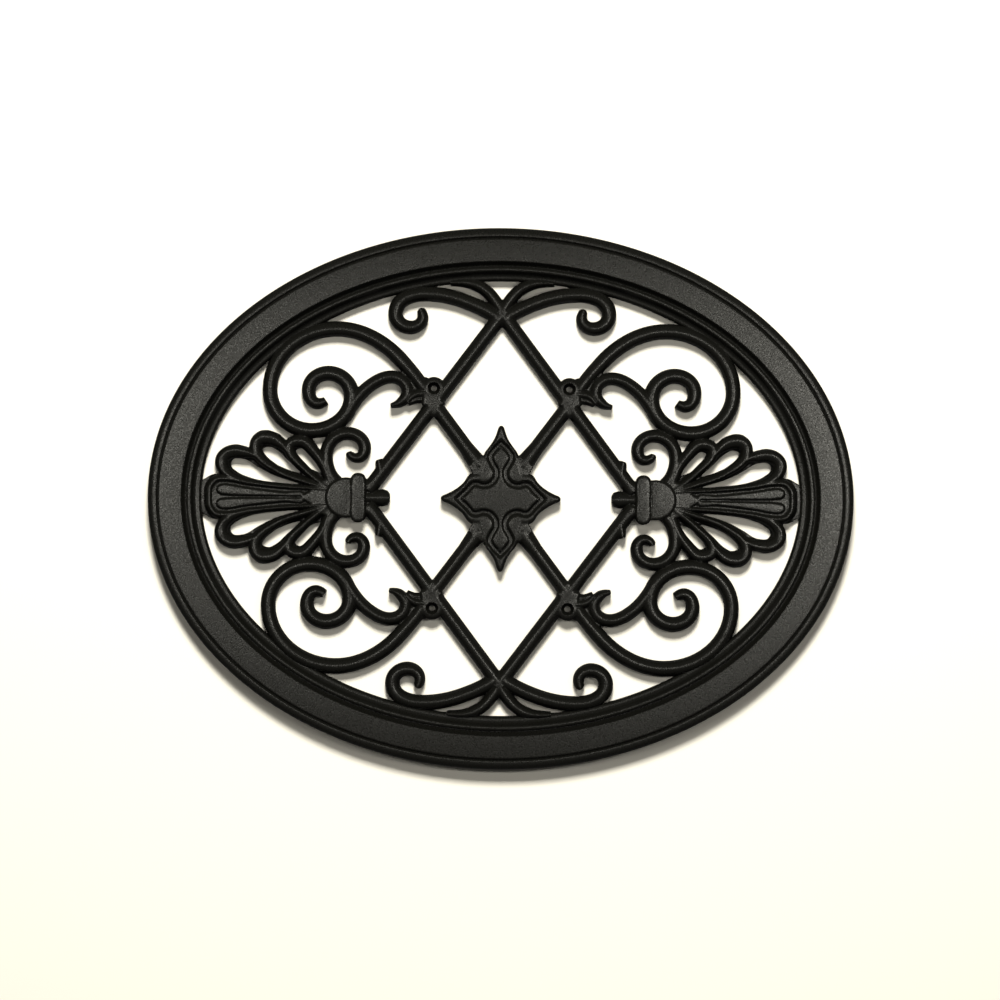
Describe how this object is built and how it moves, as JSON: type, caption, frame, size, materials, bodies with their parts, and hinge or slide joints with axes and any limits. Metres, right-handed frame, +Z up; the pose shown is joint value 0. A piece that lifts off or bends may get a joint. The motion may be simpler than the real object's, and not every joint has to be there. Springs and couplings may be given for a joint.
{
  "type": "gate insert panel",
  "caption": "Oval openwork insert for a gate, with a moulded rim round crossed lattice bars, C-scrolls, side palmettes and a lobed centre ornament, fixed by screws from the front.",
  "frame": {"origin": "middle of the oval, on the flat back face that lies against the gate", "axes": "+X to the right as seen from the front, +Y out of the flat back, +Z up; the moulded front faces -Y"},
  "size_m": [0.52, 0.018, 0.3987],
  "materials": {
    "black_coating": "satin"
  },
  "bodies": {
    "root": {"panel": "black_coating"}
  },
  "joints": []
}
